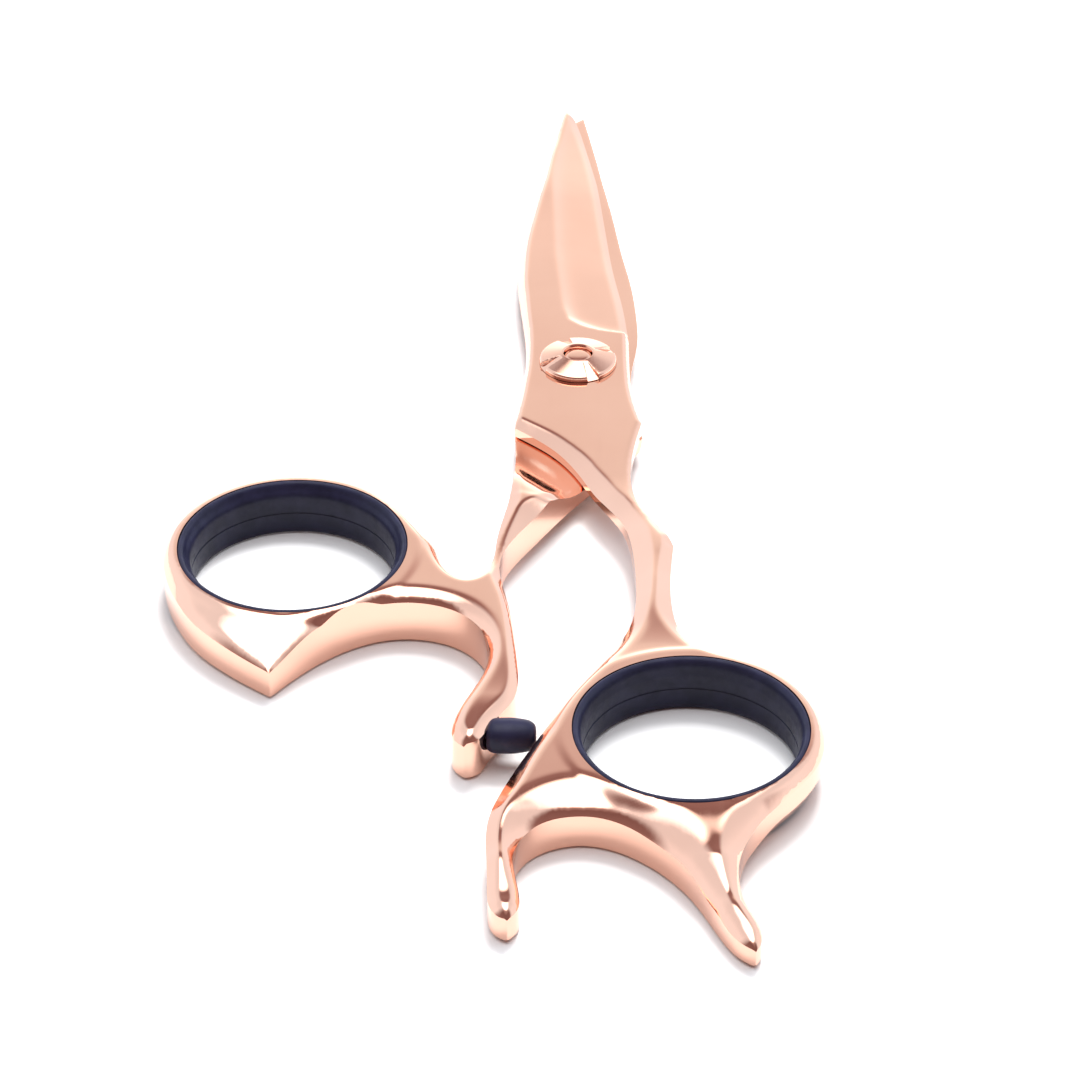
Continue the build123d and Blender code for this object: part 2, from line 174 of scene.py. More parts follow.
# ---- a forged half ------------------------------------------------------------------------
# A chain row is x, y, then the shape of the metal's edge there: soft chamfer drop and width,
# flat facet drop and width, height where the wall ends below, and width of the rounding under it.
class Forging:
    """One half of the shears: a plan outline with a shaped top, underside, walls and holes."""

    def __init__(self, chains, top, under, holes):
        self.lines = [sample(c, OUTLINE_STEP) for c in chains]
        self.base_top, self.base_under, self.holes = top, under, holes
        loop = np.vstack([line[:-1] for line in self.lines])
        self.loop = loop[:, :2]
        x, y = self.loop.T
        self.area = 0.5 * np.sum(x * np.roll(y, -1) - np.roll(x, -1) * y)
        along = np.roll(self.loop, -1, 0) - np.roll(self.loop, 1, 0)
        along /= np.linalg.norm(along, axis=1, keepdims=True)
        self.inward = np.stack([-along[:, 1], along[:, 0]], 1) * math.copysign(1, self.area)

    def top(self, p):
        """Height of the top once its edges are cut, with a level land kept round each hole."""
        cuts = []
        for line in self.lines:
            d, s = nearest(p, line, 1 + line[:, [3, 5]].max())
            soft = s[:, 0] * np.clip(1 - d / np.maximum(s[:, 1], 1e-3), 0, None) ** 2
            width = np.maximum(s[:, 3], 1e-3)
            inset = 1 - d / width
            crease = CREASE / width
            eased = np.clip(inset + crease, 0, 2 * crease) ** 2 / (4 * crease)
            facet = s[:, 2] * (eased + np.clip(inset - crease, 0, None))
            cuts.append(soft + facet)
        guard = 1.0
        for hole in self.holes:
            (x, y), hole_r = hole["centre"], hole["profile"][0][0]
            outside = np.hypot(p[:, 0] - x, p[:, 1] - y) - hole_r
            guard = guard * smooth((outside - 0.05) / LAND)
        return self.base_top(p) - soft_max(cuts, RIDGE_SOFT) * guard

    def under(self, p):
        """Height of the underside, rounded up to where the walls end."""
        base = self.base_under(p)
        lifts = []
        for line in self.lines:
            d, s = nearest(p, line, 1 + line[:, 7].max())
            lift = np.clip(1 - d / np.maximum(s[:, 5], 1e-3), 0, None) ** 2
            lifts.append((s[:, 4] - base) * lift)
        return base + np.maximum(soft_max(lifts, RIDGE_SOFT), 0)

    def slopes(self, field, p, sign):
        """Unit normals of a height field, pointing up for sign +1 and down for -1."""
        e = 0.02
        dx = (field(p + (e, 0)) - field(p - (e, 0))) / (2 * e)
        dy = (field(p + (0, e)) - field(p - (0, e))) / (2 * e)
        n = np.stack([-dx, -dy, np.ones(len(p))], 1) * sign
        return n / np.linalg.norm(n, axis=1, keepdims=True)

    def plan(self, radii):
        """Points and triangles of the plan, with holes of the given radii. Loops come first."""
        loops = [self.loop]
        for hole, r in zip(self.holes, radii):
            turn = np.linspace(0, 2 * math.pi, hole["steps"], endpoint=False)
            loops.append(np.array(hole["centre"]) + r * np.stack([np.cos(turn), np.sin(turn)], 1))
        inner = []
        for d in BORDER:
            inner.append((self.loop + self.inward * d, 0.85 * d))
        low, high = self.loop.min(0), self.loop.max(0)
        rows = np.arange(low[1], high[1], GRID * math.sqrt(0.75))
        for i, y in enumerate(rows):
            x = np.arange(low[0] + (i % 2) * GRID / 2, high[0], GRID)
            inner.append((np.stack([x, np.full(len(x), y)], 1), BORDER_CLEAR))
        q = np.vstack([p for p, _ in inner])
        clear = np.concatenate([np.full(len(p), c) for p, c in inner])
        closed = np.vstack([self.loop, self.loop[:1]])
        q = q[nearest(q, closed)[0] > clear]
        q = q[inside(q, self.loop)]
        for hole, r in zip(self.holes, radii):
            q = q[np.linalg.norm(q - hole["centre"], axis=1) > r + 0.5 * GRID]
        points = np.vstack(loops + [q])
        edges, first = [], 0
        for loop in loops:
            n = len(loop)
            edges += [(first + i, first + (i + 1) % n) for i in range(n)]
            first += n
        verts, _, faces, origin, _, _ = delaunay_2d_cdt(
            [Vector(p) for p in points], edges, [], 0, 1e-7, True)
        tri = np.array([f for f in faces if len(f) == 3])
        xy = np.array([tuple(v) for v in verts])
        middle = xy[tri].mean(1)
        keep = inside(middle, self.loop)
        for hole, r in zip(self.holes, radii):
            open_r = r * math.cos(math.pi / hole["steps"]) - 1e-4
            keep &= np.linalg.norm(middle - hole["centre"], axis=1) > open_r
        source = np.array([o[0] if o else -1 for o in origin])
        place = np.full(len(points), -1)
        place[source[source >= 0]] = np.nonzero(source >= 0)[0]
        return xy, tri[keep], [place[a:b] for a, b in self._spans(loops)]

    @staticmethod
    def _spans(loops):
        """Start and end of each loop in the list of points."""
        ends = np.cumsum([len(loop) for loop in loops])
        return zip(ends - [len(loop) for loop in loops], ends)

    def build(self, name):
        """Blender mesh object of the half, with its own normal on every corner."""
        verts, faces, normals = [], [], []

        def add(points):
            first = sum(len(v) for v in verts)
            verts.append(np.asarray(points, float))
            return first

        caps = {}
        for key, field, sign, radii in (
            ("top", self.top, 1, [h["profile"][0][0] for h in self.holes]),
            ("under", self.under, -1, [h["profile"][-1][0] for h in self.holes]),
        ):
            xy, tri, loops = self.plan(radii)
            first = add(np.column_stack([xy, field(xy)]))
            n = self.slopes(field, xy, sign)
            n[loops[0]] = self.slopes(field, self.loop + EDGE_STEP * self.inward, sign)
            n = blurred(n, tri, 2)
            ordered = tri if sign > 0 else tri[:, ::-1]
            faces += (ordered + first).tolist()
            normals += n[ordered].reshape(-1, 3).tolist()
            caps[key] = [loop + first for loop in loops]
        self._wall(caps, faces, normals)
        self._holes(caps, add, faces, normals)
        mesh = bpy.data.meshes.new(name)
        mesh.from_pydata((np.vstack(verts) * MM).tolist(), [], faces)
        mesh.polygons.foreach_set("use_smooth", [True] * len(mesh.polygons))
        mesh.normals_split_custom_set(normals)
        obj = bpy.data.objects.new(name, mesh)
        bpy.context.scene.collection.objects.link(obj)
        return obj

    def _wall(self, caps, faces, normals):
        """Upright faces along the outline, sharp where two chains meet."""
        top, under, start = caps["top"][0], caps["under"][0], 0
        total = len(self.loop)
        out = math.copysign(1, self.area)
        for line in self.lines:
            tangent = np.gradient(line[:, :2], axis=0)
            tangent /= np.linalg.norm(tangent, axis=1, keepdims=True)
            n = np.column_stack([tangent[:, 1] * out, -tangent[:, 0] * out, np.zeros(len(line))])
            for i in range(len(line) - 1):
                a, b = (start + i) % total, (start + i + 1) % total
                quad = [(top[a], n[i]), (under[a], n[i]), (under[b], n[i + 1]), (top[b], n[i + 1])]
                if out < 0:
                    quad.reverse()
                faces.append([int(v) for v, _ in quad])
                normals += [tuple(m) for _, m in quad]
            start += len(line) - 1

    def _holes(self, caps, add, faces, normals):
        """Walls and steps of each hole, from the top down."""
        for k, hole in enumerate(self.holes):
            steps, profile = hole["steps"], hole["profile"]
            turn = np.linspace(0, 2 * math.pi, steps, endpoint=False)
            ring = np.stack([np.cos(turn), np.sin(turn)], 1)
            rings = [caps["top"][k + 1]]
            for r, z in profile[1:-1]:
                first = add(np.column_stack([np.array(hole["centre"]) + r * ring, np.full(steps, z)]))
                rings.append(np.arange(steps) + first)
            rings.append(caps["under"][k + 1])
            for row in range(len(rings) - 1):
                (r0, z0), (r1, z1) = profile[row], profile[row + 1]
                size = math.hypot(r1 - r0, z1 - z0)
                flat, up = (z1 - z0) / size, (r0 - r1) / size
                for i in range(steps):
                    j = (i + 1) % steps
                    faces.append([int(rings[row][i]), int(rings[row][j]),
                                  int(rings[row + 1][j]), int(rings[row + 1][i])])
                    for c in (i, j, j, i):
                        normals.append((ring[c, 0] * flat, ring[c, 1] * flat, up))


def ring_hole(centre, lip_r):
    """The stepped seat that an insert snaps into, from the top down."""
    lip, body, bead = lip_r + FIT, BODY_R + FIT, BODY_R + FIT + 0.5
    profile = [(lip, SEAT_TOP), (lip, LIP_FLOOR), (body, LIP_FLOOR), (body, BEAD_TOP), (bead, BEAD_TOP),
               (bead, 0.0)]
    return {"centre": centre, "steps": 180, "profile": profile}


def stepped_bore(*steps):
    """A bore at the pivot: each step is radius, upper height and lower height, from the top down."""
    profile = [(r + FIT, z) for r, above, below in steps for z in (above, below)]
    return {"centre": (0, 0), "steps": 96, "profile": profile}


UPPER_BORE = stepped_bore((CLICK_R, 5.2, 4.25), (BUSH_R, 4.25, 3.4), (WASHER_R, 3.4, UPPER_RIDE))
LOWER_BORE = stepped_bore((WASHER_R, LOWER_RIDE, 3.0), (NECK_R, 3.0, 1.2))


# ---- the upper half: blade, shank, finger ring, horn and tang ------------------------------
UPPER_CHAINS = [
    [(-1.2, 63.0, 0, 1, 0.5, 0.3, 3.3, 0.1), (-2.9, 53.5, 0, 1, 1.0, 0.6, 3.3, 0.1),
     (-4.55, 44.0, 0, 1, 1.4, 0.95, 3.3, 0.1), (-6.4, 33.0, 0, 1, 1.6, 1.15, 3.3, 0.1),
     (-7.25, 24.0, 0, 1, 1.7, 1.2, 3.3, 0.1), (-7.1, 18.0, 0, 1, 1.7, 0.95, 3.3, 0.1),
     (-6.4, 9.4, 0, 1, 1.7, 0.7, 3.3, 0.1), (-6.15, 2.0, 0, 1, 1.6, 0.55, 3.3, 0.1),
     (-6.7, -5.0, 0, 1, 1.5, 0.55, 3.3, 0.1), (-7.4, -13.2, 0, 1, 0.5, 0.3, 3.3, 0.1)],
    [(-7.4, -13.2, 0, 1, 0.70, 1.4, 3.40, 0.15), (-3.2, -17.3, 0, 1, 0.78, 1.6, 3.40, 0.2),
     (-0.2, -22.2, 0, 1, 0.90, 1.9, 3.40, 0.3), (2.0, -27.2, 0, 1, 1.05, 2.2, 3.40, 0.4),
     (4.6, -32.4, 0, 1, 1.10, 2.5, 3.30, 0.8), (5.7, -38.0, 0, 1, 1.10, 2.3, 3.20, 1.2),
     (6.0, -46.0, 0, 1, 1.00, 1.9, 3.00, 1.5), (5.0, -53.5, 0.8, 2.4, 0.30, 1.5, 2.4, 1.5),
     (1.9, -59.2, 1.3, 2.0, 0, 1.5, 2.0, 1.4), (-1.8, -66.2, 1.2, 1.7, 0, 1.5, 1.6, 1.2),
     (-5.2, -73.4, 0.4, 1.2, 1.0, 1.7, 1.2, 1.0), (-8.0, -80.0, 0, 1, 1.4, 1.9, 0.9, 0.8),
     (-9.9, -87.0, 0, 1, 1.2, 1.7, 0.7, 0.8), (-9.8, -93.5, 0.2, 1, 0.8, 1.2, 0.6, 0.7),
     (-8.6, -98.8, 0.6, 1.0, 0.2, 1.0, 0.5, 0.5), (-7.75, -99.3, 0.6, 1.0, 0, 1.0, 0.5, 0.5)],
    [(-7.75, -99.3, 0.5, 1.0, 0.2, 0.4, 0.5, 0.5), (-7.0, -98.4, 0.6, 1.0, 0.2, 0.4, 0.5, 0.5),
     (-7.2, -92.0, 0.8, 1.5, 0.3, 0.4, 0.4, 0.4), (-5.6, -86.6, 1.6, 4.2, 0.3, 0.4, 0.3, 0.4),
     (-0.4, -84.2, 1.85, 5.0, 0.3, 0.4, 0.3, 0.4), (6.0, -87.0, 1.8, 4.8, 0.3, 0.4, 0.3, 0.4),
     (10.8, -93.0, 1.4, 3.5, 0.3, 0.4, 0.3, 0.4), (13.6, -99.2, 0.9, 2.0, 0.3, 0.4, 0.3, 0.4),
     (16.2, -102.8, 0.4, 1.0, 0.2, 0.4, 0.5, 0.4), (16.7, -103.1, 0.4, 1.0, 0.2, 0.4, 0.5, 0.4)],
    [(16.7, -103.1, 0.4, 1.0, 0.2, 0.4, 0.5, 0.5), (17.2, -102.2, 0.5, 1.0, 0.2, 0.4, 0.5, 0.5),
     (16.2, -97.4, 0.8, 1.6, 0.2, 0.4, 0.8, 0.8), (15.4, -92.2, 1.2, 2.4, 0.2, 0.4, 1.0, 1.0),
     (16.8, -87.4, 1.5, 3.2, 0.2, 0.4, 1.6, 1.5), (20.6, -82.2, 1.4, 2.2, 0.2, 0.4, 2.6, 2.0)]
    + with_shape(arc(FINGER_C, 13.85, -20, 55, 4), 1.2, 1.35, 0, 1, 3.0, 2.2)
    + [(14.9, -58.9, 0.9, 1.2, 0, 1, 3.0, 2.0), (11.4, -55.8, 0.3, 1.0, 0.4, 1.1, 2.8, 1.7),
       (9.8, -50.0, 0, 1, 0.8, 1.8, 2.6, 1.5), (9.8, -44.0, 0, 1, 0.8, 1.5, 2.8, 1.3),
       (10.3, -38.0, 0, 1, 0.7, 1.3, 3.0, 1.0)],
    [(10.3, -38.0, 0, 1, 0.7, 1.3, 3.0, 1.0), (9.6, -36.2, 0, 1, 0.4, 0.8, 3.1, 0.9),
     (7.0, -31.0, 0, 1, 0.25, 0.8, 3.2, 0.6), (5.8, -24.6, 0, 1, 0.2, 0.5, 3.3, 0.2),
     (6.2, -18.6, 0, 1, 0.2, 0.5, 3.3, 0.2), (7.4, -12.2, 0, 1, 0.2, 0.5, 3.3, 0.1)],
    with_shape([(7.4, -12.2), (6.4, -6.3), (6.1, 0), (6.1, 6.9)], 0, 1, 1.0, 0.5, 3.3, 0.1),
    with_shape([(6.1, 6.9), (5.5, 14.7), (4.6, 21.8), (3.85, 30.4), (3.1, 40.7), (2.0, 51.3),
                (0.1, 61.4)], 0, 1, 0.28, 0.85, 3.26, 0.1),
    with_shape([(0.1, 61.4), (-1.2, 63.0)], 0, 1, 0.1, 0.3, 3.3, 0.1),
]


def upper_top(p):
    """Height of the upper half's top before its edges are cut: level at the pivot, high at the ring."""
    x, y = p[:, 0], p[:, 1]
    z = ramp(y, [(-104, 3.0), (-97, 4.2), (-91, 5.5), (-84, 6.3), (-62, 6.3), (-57, 6.1), (-48, 6.35),
                 (-40, 6.1), (-24, 5.2), (20, 5.2), (40, 5.0), (64, 4.4)])
    collar = np.hypot(x - FINGER_C[0], y - FINGER_C[1])
    z = np.where(y > -84, z + (SEAT_TOP - z) * smooth((14.4 - collar) / 0.8), z)
    return z - hollow_grind(x, y)


# where the ground face meets the flat of the blade, from beyond the tip to the end of the edge,
# and the area that it closes off, which reaches past the edge
RIDGE = sample([(-1.0, 66.0), (-2.4, 57.0), (-3.1, 50.0), (-3.22, 44.9), (-3.05, 35.2), (-2.9, 27.1),
                (-2.43, 17.9), (-1.94, 14.0), (-1.35, 11.2), (-0.56, 9.4), (0.7, 8.4), (2.0, 7.7),
                (4.0, 7.1), (7.5, 6.6)], 0.4)
GROUND = np.vstack([RIDGE, [(12.0, 6.6), (12.0, 66.0)]])
HOLLOW = 0.30             # depth that the ground face gains just inside the ridge
HOLLOW_WIDTH = 1.1
COVE_WIDTH = 0.5          # rounding all round the ground face


def hollow_grind(x, y):
    """Depth of the ground face between the blade's ridge and its cutting edge."""
    p = np.column_stack([x, y])
    d = nearest(p, np.column_stack([RIDGE, np.zeros(len(RIDGE))]))[0]
    start = ramp(y, [(6.0, -2.2), (14.0, -2.2), (28.0, -2.95), (45.0, -3.22), (64.0, -2.0)])
    across = np.clip(x - start, 0, None)
    slope = ramp(y, [(7.0, 0.12), (20.0, 0.13), (64.0, 0.22)])
    depth = HOLLOW * (1 - np.exp(-across / HOLLOW_WIDTH)) + slope * across
    depth *= 1 - np.exp(-d / COVE_WIDTH)
    return np.where(inside(p, GROUND), depth, 0)


def upper_under(p):
    """Height of the upper half's underside: on the table at the ring, up to the blade's flat."""
    return ramp(p[:, 1], [(-110, 0.0), (-54, 0.0), (-44, 1.0), (-34, 2.4), (-28, UPPER_RIDE),
                          (70, UPPER_RIDE)])


# ---- the lower half: blade, shank, thumb ring, arm and hook --------------------------------
LOWER_BLADE = (0, 1, 0.03, 0.1, 2.9, 0.1)
LOWER_CHAINS = [
    with_shape([(1.2, 62.4), (2.7, 51.7), (3.6, 44.6), (4.55, 37.6), (5.7, 27.5), (6.6, 20.9),
                (7.2, 12.5), (7.2, 7.5), (6.3, 0), (7.4, -13.2)], 0, 1, 0.03, 0.1, 2.9, 1.1),
    [(7.4, -13.2, 0, 1, 0.03, 0.1, 1.5, 0.5), (4.2, -18.2, 0, 1, 0.03, 0.1, 1.5, 0.5),
     (-2.1, -27.6, 0, 1, 0.3, 1.0, 1.6, 0.6), (-5.3, -32.9, 0, 1, 1.0, 2.4, 1.5, 0.8),
     (-8.9, -41.4, 0, 1, 0.8, 1.4, 1.5, 0.8), (-8.1, -48.4, 0.3, 0.8, 0.5, 0.9, 1.0, 0.8),
     (-7.0, -59.0, 0.8, 1.2, 0, 1, 0.8, 0.8), (-7.6, -66.8, 0.8, 1.3, 0, 1, 0.8, 0.8),
     (-9.8, -70.4, 0.8, 1.2, 0, 1, 0.6, 0.6), (-11.3, -72.8, 0.8, 1.0, 0, 1, 0.4, 0.5),
     (-12.4, -73.15, 0.8, 1.0, 0, 1, 0.4, 0.5)],
    [(-12.4, -73.15, 0.9, 1.5, 0.3, 0.4, 0.4, 0.5), (-13.4, -72.0, 1.0, 1.7, 0.3, 0.4, 0.4, 0.5),
     (-13.3, -68.0, 1.0, 1.7, 0.3, 0.4, 0.4, 0.5), (-11.2, -63.0, 0.9, 1.6, 0.3, 0.4, 0.4, 0.5),
     (-9.9, -57.0, 0.8, 1.6, 0.3, 0.4, 0.4, 0.4), (-13.2, -50.6, 0.8, 2.2, 0.3, 0.4, 0.3, 0.4),
     (-20.0, -48.7, 0.8, 2.2, 0.3, 0.4, 0.3, 0.4), (-28.0, -52.8, 0.3, 1.6, 0.9, 2.2, 0.3, 0.4),
     (-33.4, -59.1, 0.25, 0.5, 2.5, 6.6, 0.3, 0.4)],
    [(-33.4, -59.1, 0.25, 0.5, 2.5, 6.6, 0.3, 0.4), (-41.6, -51.6, 0.7, 1.0, 1.5, 3.4, 0.5, 0.6),
     (-44.9, -45.4, 1.2, 1.6, 0.5, 2.4, 0.8, 0.8)]
    + with_shape(arc(THUMB_C, 14.3, 180, 60, 5), 1.3, 1.5, 0, 1, 1.5, 1.2)
    + [(-18.9, -33.4, 1.2, 2.0, 0, 1, 1.5, 1.2), (-16.2, -38.2, 1.0, 1.6, 0, 1, 1.5, 1.0),
       (-14.9, -42.6, 0.8, 1.2, 0, 1, 1.5, 0.8), (-12.4, -44.9, 0.8, 1.1, 0, 1, 1.5, 0.8),
       (-10.4, -42.9, 0.2, 1.0, 0.6, 1.0, 1.5, 0.8), (-9.3, -37.3, 0, 1, 0.8, 1.5, 1.5, 0.8),
       (-8.1, -30.0, 0, 1, 0.8, 1.4, 1.5, 0.7), (-7.3, -20.0, 0, 1, 0.03, 0.1, 1.5, 0.5),
       (-7.4, -12.2, 0, 1, 0.03, 0.1, 1.5, 0.4)],
    with_shape([(-7.4, -12.2), (-6.4, -6.3), (-6.1, 0), (-6.1, 6.9)], 0, 1, 0.03, 0.1, 1.4, 0.3),
    with_shape([(-6.1, 6.9), (-4.3, 20), (-1.9, 48.5), (0.2, 61.4)], *LOWER_BLADE),
    with_shape([(0.2, 61.4), (1.2, 62.4)], *LOWER_BLADE),
]


# the recess beside the upper half's root starts on a line through ROOT and ends at a curved rim
ROOT = (-7.4, -14.5)
ROOT_SLOPE = 1.05
RIM_LOW = (-2.8, -30.0)
RIM_CURVE = 0.06
RIM_WIDTH = 1.2
DISH = 16.0               # the recess rises by the square of the distance over DISH
SHANK_TOP = 6.2


def lower_top(p):
    """Height of the lower half's top: the blade's face, the recess, then the shank and handle."""
    x, y = p[:, 0], p[:, 1]
    handle = ramp(y, [(-74, 5.7), (-66, 6.1), (-56, SEAT_TOP), (-34, SHANK_TOP), (0, SHANK_TOP)])
    collar = np.hypot(x - THUMB_C[0], y - THUMB_C[1])
    handle = handle + (SEAT_TOP - handle) * smooth((14.6 - collar) / 0.8)
    beyond = (ROOT[1] - y + ROOT_SLOPE * (ROOT[0] - x)) / math.hypot(1, ROOT_SLOPE)
    rise = np.clip(beyond, 0, None) ** 2 / DISH
    recess = LOWER_RIDE + rise / (1 + (rise / (SHANK_TOP - LOWER_RIDE)) ** 4) ** 0.25
    rim = RIM_LOW[1] + RIM_CURVE * (x - RIM_LOW[0]) ** 2
    return recess + (handle - recess) * smooth(1 - (y - rim) / RIM_WIDTH)


def lower_under(p):
    """Height of the lower half's underside, with the grind on the other side of its blade."""
    x, y = p[:, 0], p[:, 1]
    base = ramp(y, [(-110, 0.0), (-50, 0.0), (-42, 1.2), (20, 1.2), (40, 1.4), (64, 2.0)])
    return base + hollow_grind(-x, y)


upper = Forging(UPPER_CHAINS, upper_top, upper_under, [UPPER_BORE, ring_hole(FINGER_C, FINGER_LIP_R)])
lower = Forging(LOWER_CHAINS, lower_top, lower_under, [LOWER_BORE, ring_hole(THUMB_C, THUMB_LIP_R)])
upper_half = upper.build("upper_shear_metal")
lower_half = lower.build("lower_shear_metal")


# ---- turned pieces ------------------------------------------------------------------------
def lathe(name, profile, steps, matrix, sharp=35):
    """Closed mesh of a profile of (radius, height) in mm turned about the matrix's Z axis."""
    turn = np.linspace(0, 2 * math.pi, steps, endpoint=False)
    verts, faces, rows = [], [], []
    for r, z in profile:
        if r < 1e-6:
            rows.append([len(verts)])
            verts.append((0, 0, z))
        else:
            rows.append(list(range(len(verts), len(verts) + steps)))
            verts += [(r * math.cos(a), r * math.sin(a), z) for a in turn]
    closed = profile[0][0] > 1e-6 and profile[-1][0] > 1e-6
    pairs = list(zip(rows, rows[1:])) + ([(rows[-1], rows[0])] if closed else [])
    for a, b in pairs:
        for i in range(steps):
            j = (i + 1) % steps
            quad = [a[i % len(a)], a[j % len(a)], b[j % len(b)], b[i % len(b)]]
            face = list(dict.fromkeys(quad))
            if len(face) > 2:
                faces.append(face)
    mesh = bpy.data.meshes.new(name)
    mesh.from_pydata([tuple(c * MM for c in v) for v in verts], [], faces)
    mesh.polygons.foreach_set("use_smooth", [True] * len(mesh.polygons))
    mesh.set_sharp_from_angle(angle=math.radians(sharp))
    mesh.transform(matrix)
    obj = bpy.data.objects.new(name, mesh)
    bpy.context.scene.collection.objects.link(obj)
    return obj


def rounded(points, step=0.12):
    """Dense copy of a profile whose points are joined by a smooth spline."""
    return [tuple(p) for p in sample(points, step)]


def at(x, y, z=0.0):
    """Matrix that moves to a point given in mm."""
    return Matrix.Translation((x * MM, y * MM, z * MM))


def insert(name, centre, lip_r):
    """Rubber finger ring: rolled lip, bore with a moulded step, snap bead underneath."""
    lip = rounded([(lip_r, LIP_TOP - 0.34), (lip_r - 0.1, LIP_TOP - 0.12), (lip_r - 0.32, LIP_TOP - 0.02),
                   (lip_r - 0.6, LIP_TOP - 0.16), (lip_r - 0.88, LIP_TOP - 0.6),
                   (BORE_R + 0.16, LIP_TOP - 1.2), (BORE_R + 0.05, LIP_TOP - 2.0)])
    bore = [(BORE_R + 0.03, 3.1), (BORE_R + 0.03, 3.0), (BORE_R + 0.15, 2.94), (BORE_R + 0.15, 2.8),
            (BORE_R + 0.04, 2.72), (BORE_R + 0.02, 0.9), (BORE_R + 0.06, 0.5), (BORE_R + 0.25, 0.2)]
    bead = [(BODY_R - 0.2, 0.16), (BODY_R + 0.3, 0.28), (BODY_R + 0.44, 0.5), (BODY_R + 0.4, 0.8),
            (BODY_R, BEAD_TOP - FIT), (BODY_R, LIP_FLOOR + FIT), (lip_r, LIP_FLOOR + FIT)]
    profile = [(lip_r, LIP_FLOOR + 0.3)] + lip + bore + bead
    return lathe(name, profile[::-1], 256, at(*centre), sharp=40)


thumb_insert = insert("thumb_ring_rubber", THUMB_C, THUMB_LIP_R)
finger_insert = insert("finger_ring_rubber", FINGER_C, FINGER_LIP_R)

bumper_side = rounded([(0.5, 5.28), (1.05, 5.18), (1.5, 4.75), (1.76, 3.9), (1.9, 2.6), (1.88, 1.4),
                       (1.72, 0.5), (1.4, 0.08)], 0.1)
bumper_profile = [(0.0, 5.28)] + bumper_side + [(0.9, 0.03), (0.0, 0.03)]
along_x = at(-10.14, -70.2, 3.7) @ Matrix.Rotation(math.pi / 2, 4, "Y")
bumper = lathe("bumper_rubber", bumper_profile[::-1], 96, along_x)


# ---- tension dial and the bolt's end ------------------------------------------------------
def dial_mesh():
    """Low domed dial with four tapered finger grooves round a centre hole, on a polar grid."""
    steps, hole, base, rim = 720, 1.66, 5.25, 4.57
    first_groove, groove_start, groove_length, groove_side = 23, 2.2, 2.4, 0.14
    turn = np.linspace(0, 2 * math.pi, steps, endpoint=False)
    off = np.abs(np.radians((np.degrees(turn) - first_groove + 45) % 90 - 45))
    outline = [(hole, 6.30), (1.70, 6.50), (1.78, 6.58)]
    outline += [(r, 6.60 - 0.26 * (r - 1.8) - 0.006 * (r - 1.8) ** 2) for r in np.linspace(1.85, 4.3, 30)]
    outline += [(4.42, 5.84), (4.50, 5.74), (4.55, 5.58), (rim, base + 0.02), (rim, base), (hole, base)]
    rows = []
    for r, z in outline:
        along = (r - groove_start) / groove_length
        cut = float(along > 0 and z > base) * smooth((0.26 + 0.5 * along - off * r) / groove_side + 0.5)
        groove_floor = max(6.45 - 1.15 * along, base + 0.01)
        height = z - cut * max(z - groove_floor, 0)
        rows.append(np.column_stack([r * np.cos(turn), r * np.sin(turn), height]))
    verts = np.vstack(rows) * MM
    faces = []
    for k in range(len(rows)):
        a, b = k * steps, ((k + 1) % len(rows)) * steps
        faces += [(a + i, b + i, b + (i + 1) % steps, a + (i + 1) % steps) for i in range(steps)]
    mesh = bpy.data.meshes.new("tension_dial_metal")
    mesh.from_pydata(verts.tolist(), [], faces)
    mesh.polygons.foreach_set("use_smooth", [True] * len(mesh.polygons))
    mesh.set_sharp_from_angle(angle=math.radians(30))
    obj = bpy.data.objects.new("tension_dial_metal", mesh)
    bpy.context.scene.collection.objects.link(obj)
    return obj


dial = dial_mesh()
bolt_head = [(0, 0.02), (3.75, 0.02), (3.95, 0.08), (4.12, 0.22), (4.19, 0.4), (4.19, 1.1)]
bolt_neck = [(2.45, 1.1), (2.45, 3.0), (2.0, 3.0), (2.0, 5.0), (1.58, 5.0), (1.58, 6.0)]
bolt_end = [(1.53, 6.10), (1.36, 6.19), (1.0, 6.25), (0.5, 6.28), (0, 6.29)]
bolt = lathe("pivot_bolt_metal", bolt_head + bolt_neck + bolt_end, 128, Matrix.Identity(4))


# ---- materials ----------------------------------------------------------------------------
def material(name):
    """A new material with its nodes, links and shader."""
    mat = bpy.data.materials.new(name)
    mat.use_nodes = True
    return mat, mat.node_tree.nodes, mat.node_tree.links, mat.node_tree.nodes["Principled BSDF"]


def noise(nodes, links, scale, detail, stretch=None):
    """Noise texture on object coordinates in metres, stretched along an axis where given."""
    coords = nodes.new("ShaderNodeTexCoord")
    source = coords.outputs["Object"]
    if stretch:
        mapping = nodes.new("ShaderNodeMapping")
        mapping.inputs["Scale"].default_value = stretch
        links.new(source, mapping.inputs["Vector"])
        source = mapping.outputs["Vector"]
    tex = nodes.new("ShaderNodeTexNoise")
    tex.inputs["Scale"].default_value = scale
    tex.inputs["Detail"].default_value = detail
    links.new(source, tex.inputs["Vector"])
    return tex.outputs["Fac"]


def remap(nodes, links, source, low, high, to_low, to_high):
    """The source with low to high stretched to to_low to to_high."""
    node = nodes.new("ShaderNodeMapRange")
    node.inputs["From Min"].default_value = low
    node.inputs["From Max"].default_value = high
    node.inputs["To Min"].default_value = to_low
    node.inputs["To Max"].default_value = to_high
    links.new(source, node.inputs["Value"])
    return node.outputs["Result"]


def two_tone(nodes, links, shader, dark, light, factor):
    """Base colour that wanders between two tones."""
    mix = nodes.new("ShaderNodeMix")
    mix.data_type = "RGBA"
    mix.inputs["A"].default_value = dark
    mix.inputs["B"].default_value = light
    links.new(factor, mix.inputs["Factor"])
    links.new(mix.outputs["Result"], shader.inputs["Base Color"])


